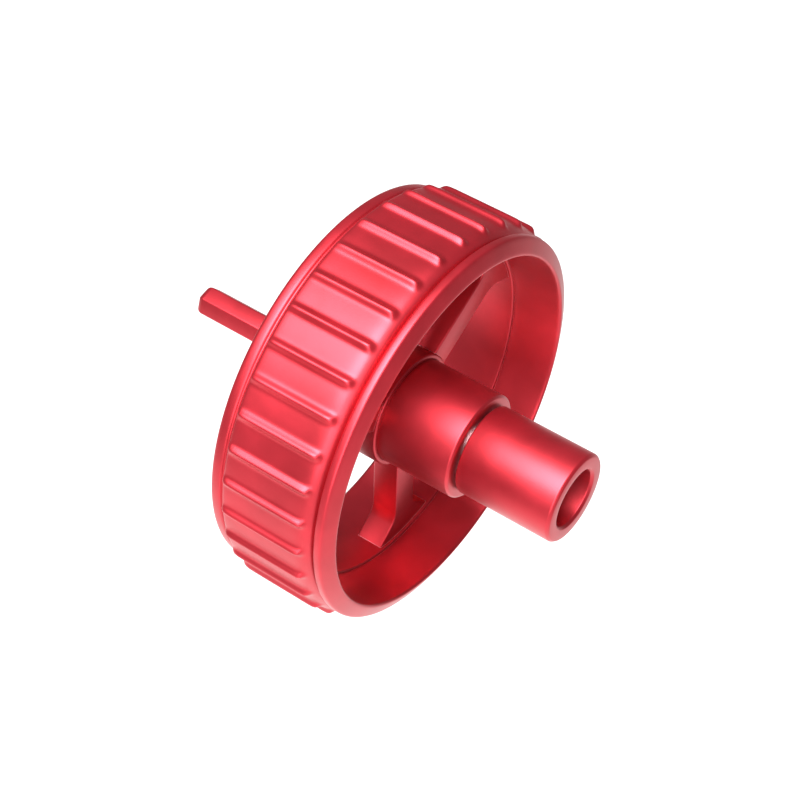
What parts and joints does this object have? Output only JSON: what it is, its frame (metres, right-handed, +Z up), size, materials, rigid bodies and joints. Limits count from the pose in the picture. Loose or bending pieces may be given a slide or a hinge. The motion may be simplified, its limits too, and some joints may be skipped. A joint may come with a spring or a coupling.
{
  "type": "free-wheeling hand wheel on a hollow spindle",
  "caption": "Ribbed red hand wheel on spokes that free-wheels on a through spindle, with a hollow round nose at the front and a hex drive tail behind.",
  "frame": {"origin": "on the axle line, at the floor of the nose bore, where the end of a mating shaft lands", "axes": "-Y along the axle line out of the nose, +Y along it towards the hex tail, +Z up with the axle level"},
  "size_m": [0.058, 0.0614, 0.058],
  "materials": {
    "red_anodised": "bead blasted and anodised red, satin",
    "ground_steel": "ground",
    "bearing_steel": "polished",
    "spring_steel": "phosphated, dark",
    "cage_polymer": "moulded, natural"
  },
  "bodies": {
    "spindle": {"nose_sleeve": "red_anodised", "core_shaft": "ground_steel", "hex_tail": "red_anodised", "spacer_washer": "ground_steel", "shaft_snap_ring": "spring_steel", "front_bearing_inner_ring": "bearing_steel", "rear_bearing_inner_ring": "bearing_steel"},
    "wheel": {"grip_ring": "red_anodised", "spoke_spider": "red_anodised", "hub_barrel": "red_anodised", "barrel_snap_ring": "spring_steel", "clutch_cup": "ground_steel", "clutch_cage": "cage_polymer", "clutch_rollers": "ground_steel", "clutch_springs": "spring_steel", "front_bearing_outer_ring": "bearing_steel", "front_bearing_shields": "ground_steel", "rear_bearing_outer_ring": "bearing_steel", "rear_bearing_shields": "ground_steel"},
    "front_ball_set": {"front_bearing_balls": "bearing_steel", "front_bearing_cage": "ground_steel"},
    "rear_ball_set": {"rear_bearing_balls": "bearing_steel", "rear_bearing_cage": "ground_steel"}
  },
  "joints": [
    {"name": "wheel_spin", "type": "hinge", "parent": "spindle", "child": "wheel", "pos_m": [0, 0.015, 0], "axis": [0, 1, 0], "continuous": true},
    {"name": "front_balls_turn", "type": "hinge", "parent": "spindle", "child": "front_ball_set", "pos_m": [0, 0.007, 0], "axis": [0, 1, 0], "continuous": true},
    {"name": "rear_balls_turn", "type": "hinge", "parent": "spindle", "child": "rear_ball_set", "pos_m": [0, 0.0225, 0], "axis": [0, 1, 0], "continuous": true}
  ],
  "couplings": [
    {"joint": "front_balls_turn", "follows": "wheel_spin", "ratio": 0.56},
    {"joint": "rear_balls_turn", "follows": "wheel_spin", "ratio": 0.56}
  ]
}
